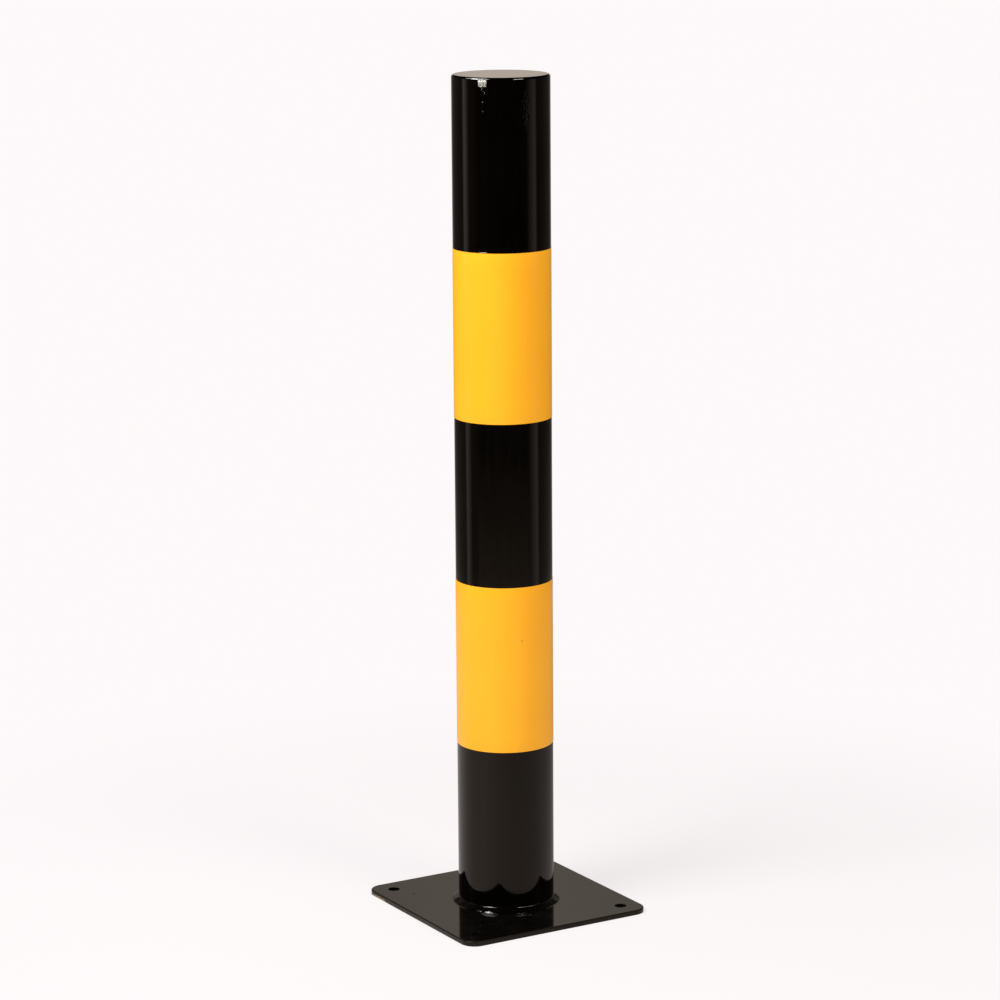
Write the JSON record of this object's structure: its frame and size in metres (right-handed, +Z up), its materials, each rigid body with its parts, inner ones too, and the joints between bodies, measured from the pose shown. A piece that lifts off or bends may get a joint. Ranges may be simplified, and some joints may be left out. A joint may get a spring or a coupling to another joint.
{
  "type": "safety bollard",
  "caption": "Fixed safety bollard: black capped steel tube with yellow warning bands, welded to a square base plate with corner anchor holes.",
  "frame": {"origin": "centre of the base plate's underside, at floor level", "axes": "+Z up along the post; the sides of the square plate lie along X and Y; the joint in the yellow film faces +Y"},
  "size_m": [0.25, 0.25, 1],
  "materials": {
    "black_paint_post": "high-gloss black enamel on drawn steel tube",
    "black_paint_plate": "gloss black enamel on flat steel plate, rubbed through along one lower edge",
    "black_paint_weld": "gloss black enamel over a rippled weld bead",
    "yellow_film": "smooth satin yellow warning film"
  },
  "bodies": {
    "root": {"base_plate": "black_paint_plate", "post_tube": "black_paint_post", "top_cap": "black_paint_post", "foot_weld": "black_paint_weld", "lower_band": "yellow_film", "upper_band": "yellow_film"}
  },
  "joints": []
}
